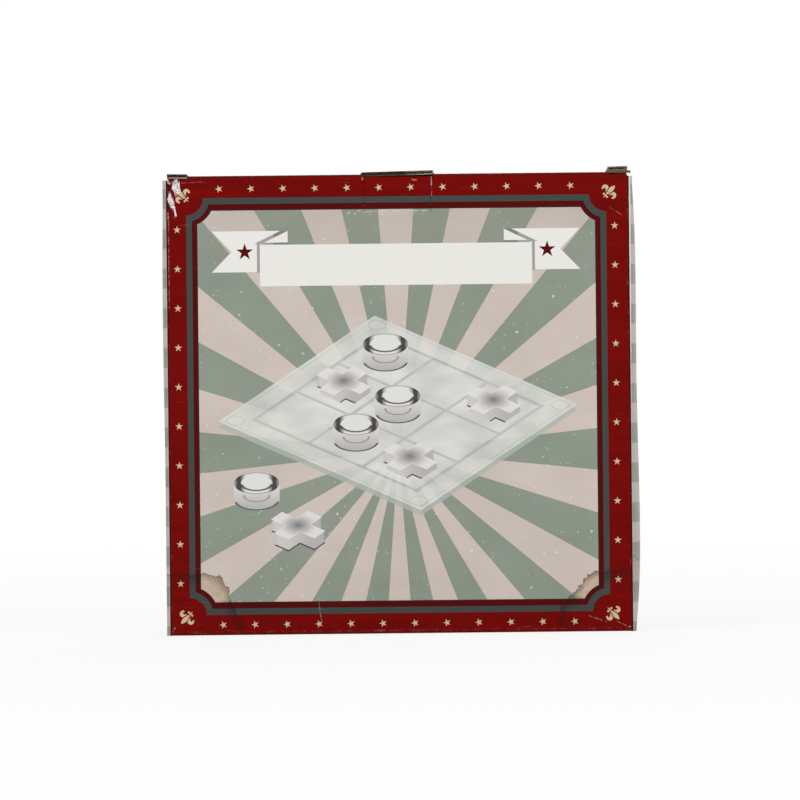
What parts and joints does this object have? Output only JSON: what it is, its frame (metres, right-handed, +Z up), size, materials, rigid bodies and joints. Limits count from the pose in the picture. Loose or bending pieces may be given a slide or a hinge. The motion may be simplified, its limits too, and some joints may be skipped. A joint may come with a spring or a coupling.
{
  "type": "tic-tac-toe game in a carton",
  "caption": "Closed tuck-top carton holding a glass noughts and crosses board and its pieces in a foam tray, with flaps that open.",
  "frame": {"origin": "middle of the footprint between the folded walls, on the ground; the bounding box's middle is about 1 mm to +X of it, because the right wall bulges more", "axes": "+Z up, the printed front panel faces -Y, X along the front's width"},
  "size_m": [0.2799, 0.045, 0.272],
  "materials": {
    "front_print": "glossy laminated print, sage and pink rays in a red border",
    "side_print": "glossy laminated print, pale sage and pink stripes",
    "flap_print": "glossy laminated red print with raw corrugated edges",
    "kraft_board": "uncoated corrugated board",
    "white_foam": "moulded expanded foam",
    "board_glass": "float glass with a frosted grid",
    "clear_glass": "clear pressed glass",
    "frosted_glass": "satin etched glass",
    "clear_feet": "clear soft bumper"
  },
  "bodies": {
    "carton": {"front_panel": "front_print", "back_panel": "side_print", "left_side_panel": "side_print", "right_side_panel": "side_print", "glue_flap": "kraft_board", "bottom_front_flap": "flap_print", "bottom_left_flap": "kraft_board", "bottom_right_flap": "kraft_board", "bottom_back_flap": "kraft_board", "foam_tray": "white_foam", "front_foam_sheet": "white_foam", "back_foam_sheet": "white_foam", "glass_board": "board_glass", "board_foot_1": "clear_feet", "board_foot_2": "clear_feet", "board_foot_3": "clear_feet", "board_foot_4": "clear_feet", "nought_1": "clear_glass", "nought_2": "clear_glass", "nought_3": "clear_glass", "nought_4": "clear_glass", "nought_5": "clear_glass", "cross_1": "frosted_glass", "cross_2": "frosted_glass", "cross_3": "frosted_glass", "cross_4": "frosted_glass"},
    "closure": {"top_closure_panel": "flap_print"},
    "tuck": {"tuck_flap": "flap_print"},
    "left_dust": {"left_dust_flap": "kraft_board"},
    "right_dust": {"right_dust_flap": "kraft_board"},
    "tab": {"lock_tab": "front_print"}
  },
  "joints": [
    {"name": "closure_hinge", "type": "hinge", "parent": "carton", "child": "closure", "pos_m": [0, 0.02255, 0.2687], "axis": [-1, 0, 0], "range_deg": [0, 180]},
    {"name": "tuck_fold", "type": "hinge", "parent": "closure", "child": "tuck", "pos_m": [0, -0.01635, 0.2662], "axis": [1, 0, 0], "range_deg": [0, 87]},
    {"name": "left_dust_fold", "type": "hinge", "parent": "carton", "child": "left_dust", "pos_m": [-0.1374, 0, 0.2662], "axis": [0, -1, 0], "range_deg": [0, 90]},
    {"name": "right_dust_fold", "type": "hinge", "parent": "carton", "child": "right_dust", "pos_m": [0.1374, 0, 0.2662], "axis": [0, 1, 0], "range_deg": [0, 90]},
    {"name": "lock_tab_fold", "type": "hinge", "parent": "carton", "child": "tab", "pos_m": [0, -0.02255, 0.2464], "axis": [1, 0, 0], "range_deg": [0, 75]}
  ],
  "couplings": [
    {"joint": "tuck_fold", "follows": "closure_hinge", "ratio": 0.48},
    {"joint": "left_dust_fold", "follows": "closure_hinge", "ratio": 0.5},
    {"joint": "right_dust_fold", "follows": "closure_hinge", "ratio": 0.5}
  ]
}
